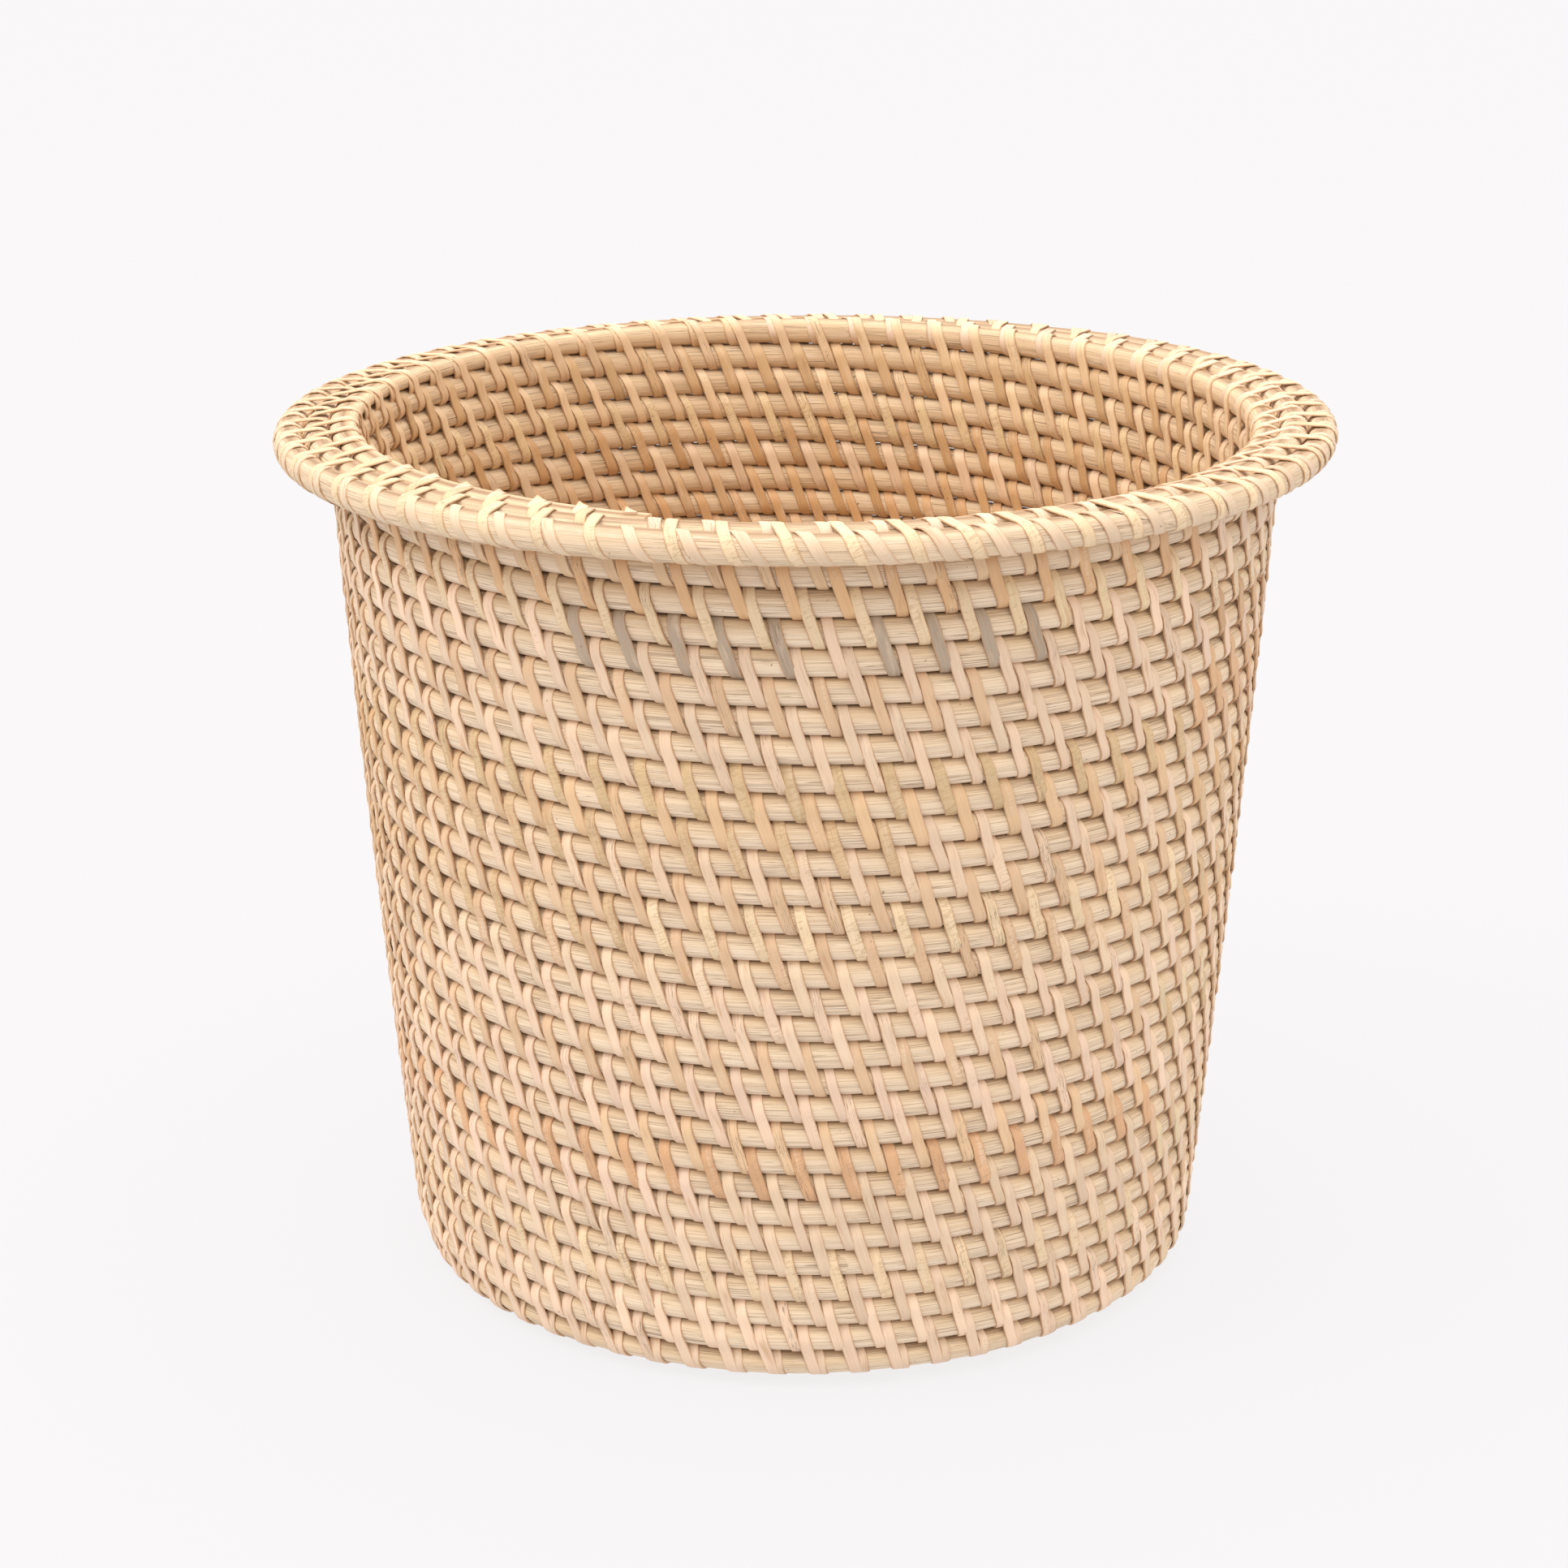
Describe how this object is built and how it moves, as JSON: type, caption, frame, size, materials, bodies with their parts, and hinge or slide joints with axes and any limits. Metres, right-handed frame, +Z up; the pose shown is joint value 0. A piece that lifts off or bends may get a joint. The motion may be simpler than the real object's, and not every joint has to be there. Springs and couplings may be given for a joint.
{
  "type": "wastebasket",
  "caption": "Round, open-topped wastebasket of coiled rattan cane bound with flat rattan strips, with a slightly tapered wall and a flat outward rim.",
  "frame": {"origin": "on the ground under the middle of the basket", "axes": "+Z up along the basket's axis, -Y towards the front, +X to the right seen from the front"},
  "size_m": [0.3052, 0.3052, 0.2567],
  "materials": {
    "cane": "matt, fibrous",
    "strip": "satin"
  },
  "bodies": {
    "root": {"base_core_inner": "cane", "base_core_outer": "cane", "wall_core_1": "cane", "wall_core_2": "cane", "wall_core_3": "cane", "wall_core_4": "cane", "wall_core_5": "cane", "wall_core_6": "cane", "wall_core_7": "cane", "wall_core_8": "cane", "rim_core_middle": "cane", "rim_core_outer": "cane", "base_binder_1": "strip", "base_binder_2": "strip", "base_binder_3": "strip", "base_binder_4": "strip", "base_binder_5": "strip", "base_binder_6": "strip", "wall_binder_01": "strip", "wall_binder_02": "strip", "wall_binder_03": "strip", "wall_binder_04": "strip", "wall_binder_05": "strip", "wall_binder_06": "strip", "wall_binder_07": "strip", "wall_binder_08": "strip", "wall_binder_09": "strip", "wall_binder_10": "strip", "wall_binder_11": "strip", "wall_binder_12": "strip", "wall_binder_13": "strip", "wall_binder_14": "strip", "wall_binder_15": "strip", "wall_binder_16": "strip", "wall_binder_17": "strip", "wall_binder_18": "strip", "wall_binder_19": "strip", "wall_binder_20": "strip", "wall_binder_21": "strip", "wall_binder_22": "strip", "wall_binder_23": "strip", "wall_binder_24": "strip", "wall_binder_25": "strip", "wall_binder_26": "strip", "wall_binder_27": "strip", "wall_binder_28": "strip", "wall_binder_29": "strip", "wall_binder_30": "strip", "wall_binder_31": "strip", "rim_binder_inner": "strip", "rim_binder_outer": "strip", "rim_binder_edge": "strip"}
  },
  "joints": []
}
